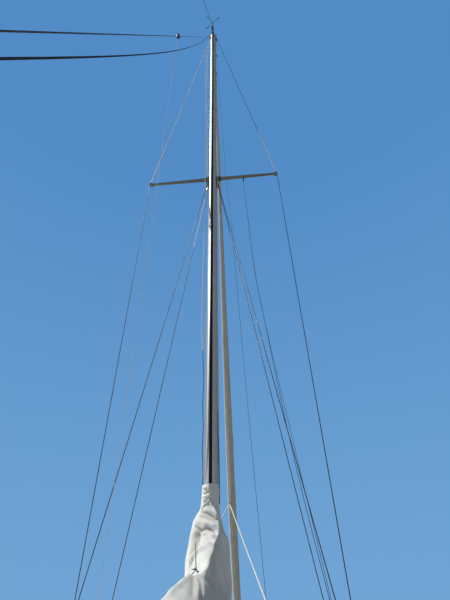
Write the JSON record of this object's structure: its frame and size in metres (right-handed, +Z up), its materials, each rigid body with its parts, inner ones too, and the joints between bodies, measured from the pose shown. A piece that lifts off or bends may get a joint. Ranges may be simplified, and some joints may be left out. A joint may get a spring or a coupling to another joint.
{
  "type": "sailing yacht",
  "caption": "Masthead sloop with moulded hull, coachroof and cockpit, fin keel, spade rudder, stayed mast, boom under a canvas cover and rolled headsail.",
  "frame": {"origin": "on the waterline and the centreline, straight under the middle of the mast", "axes": "+Z up, +Y towards the bow, +X to starboard"},
  "size_m": [3.154, 9.2725, 15.7983],
  "materials": {
    "gelcoat": "gloss white moulded topsides",
    "deck_paint": "moulded non-slip",
    "cockpit_gelcoat": "satin moulded",
    "window": "dark tinted pane",
    "varnished_wood": "varnished",
    "slatted_wood": "weathered slats",
    "cabin_wood": "oiled",
    "hatch_panel": "smoked pane in a frame",
    "satin_alloy": "satin anodised",
    "mast_alloy": "weathered anodised",
    "spreader_alloy": "dull olive grey",
    "black_fitting": "black moulded",
    "polished_steel": "polished stainless tube",
    "wire": "twisted stainless wire",
    "rope": "braided line",
    "engine_paint": "grey enamel",
    "antifouling": "flat blue bottom paint",
    "bronze": "dull bronze",
    "headsail_cloth": "rolled sailcloth with a sun strip",
    "cover_canvas": "white acrylic canvas"
  },
  "bodies": {
    "root": {"hull": "gelcoat", "deck_fore": "deck_paint", "deck_aft": "deck_paint", "side_deck_port": "deck_paint", "side_deck_starboard": "deck_paint", "coachroof": "gelcoat", "cockpit": "cockpit_gelcoat", "window_aft_port": "window", "window_aft_starboard": "window", "window_fore_port": "window", "window_fore_starboard": "window", "washboards": "varnished_wood", "mainsheet_track": "satin_alloy", "winch_base_port": "black_fitting", "winch_base_starboard": "black_fitting", "saloon_floor": "cabin_wood", "engine_block": "engine_paint", "keel": "antifouling", "shaft_strut": "bronze", "toe_rail_port": "satin_alloy", "toe_rail_starboard": "satin_alloy", "guardrail_port": "polished_steel", "guardrail_starboard": "polished_steel", "pushpit_port": "polished_steel", "pushpit_starboard": "polished_steel", "pulpit": "polished_steel", "stem_fitting": "polished_steel", "mast": "mast_alloy", "mast_step": "satin_alloy", "masthead_crane": "black_fitting", "spreader_port": "spreader_alloy", "spreader_starboard": "spreader_alloy", "cap_shroud_port": "wire", "cap_shroud_starboard": "wire", "lower_shroud_fore_port": "wire", "lower_shroud_fore_starboard": "wire", "lower_shroud_aft_port": "wire", "lower_shroud_aft_starboard": "wire", "backstay": "wire", "forestay": "wire", "topping_lift": "wire", "main_halyard": "rope", "gooseneck": "polished_steel", "cover_collar": "cover_canvas"},
    "companion_hatch": {"companion_hatch": "hatch_panel"},
    "fore_hatch": {"fore_hatch": "hatch_panel"},
    "locker_lid_port": {"locker_lid_port": "slatted_wood"},
    "locker_lid_starboard": {"locker_lid_starboard": "slatted_wood"},
    "winch_port": {"winch_drum_port": "polished_steel"},
    "winch_starboard": {"winch_drum_starboard": "polished_steel"},
    "steering": {"rudder": "antifouling", "tiller": "varnished_wood"},
    "propeller": {"propeller": "bronze"},
    "wind_vane": {"wind_vane": "black_fitting"},
    "headsail": {"furled_headsail": "headsail_cloth", "furler_drum": "black_fitting"},
    "boom": {"boom": "mast_alloy", "boom_vang": "satin_alloy", "sail_cover": "cover_canvas"}
  },
  "joints": [
    {"name": "boom_swing", "type": "hinge", "parent": "root", "child": "boom", "pos_m": [0, -0.13, 2.02], "axis": [0, 0, 1], "range_deg": [-55, 55]},
    {"name": "rudder_turn", "type": "hinge", "parent": "root", "child": "steering", "pos_m": [0, -4.9, 0], "axis": [0, 0, 1], "range_deg": [-35, 35]},
    {"name": "propeller_spin", "type": "hinge", "parent": "root", "child": "propeller", "pos_m": [0, -4.33, -0.5], "axis": [0, -0.9848, -0.1737], "continuous": true},
    {"name": "wind_vane_spin", "type": "hinge", "parent": "root", "child": "wind_vane", "pos_m": [0, -0.1, 14.09], "axis": [0, 0, 1], "continuous": true},
    {"name": "headsail_furl", "type": "hinge", "parent": "root", "child": "headsail", "pos_m": [0, 3.395, 1.345], "axis": [0, -0.26, 0.9656], "continuous": true},
    {"name": "companion_hatch_slide", "type": "slide", "parent": "root", "child": "companion_hatch", "axis": [0, 1, 0], "range_m": [0, 0.58]},
    {"name": "fore_hatch_hinge", "type": "hinge", "parent": "root", "child": "fore_hatch", "pos_m": [0, 1.4957, 1.3247], "axis": [-1, 0, 0], "range_deg": [0, 100]},
    {"name": "locker_lid_port_hinge", "type": "hinge", "parent": "root", "child": "locker_lid_port", "pos_m": [-0.807, -3.59, 1.004], "axis": [0, -1, 0], "range_deg": [0, 85]},
    {"name": "locker_lid_starboard_hinge", "type": "hinge", "parent": "root", "child": "locker_lid_starboard", "pos_m": [0.807, -3.59, 1.004], "axis": [0, 1, 0], "range_deg": [0, 85]},
    {"name": "winch_port_turn", "type": "hinge", "parent": "root", "child": "winch_port", "pos_m": [-0.915, -3.7, 1.27], "axis": [0, 0, 1], "continuous": true},
    {"name": "winch_starboard_turn", "type": "hinge", "parent": "root", "child": "winch_starboard", "pos_m": [0.915, -3.7, 1.27], "axis": [0, 0, 1], "continuous": true}
  ]
}
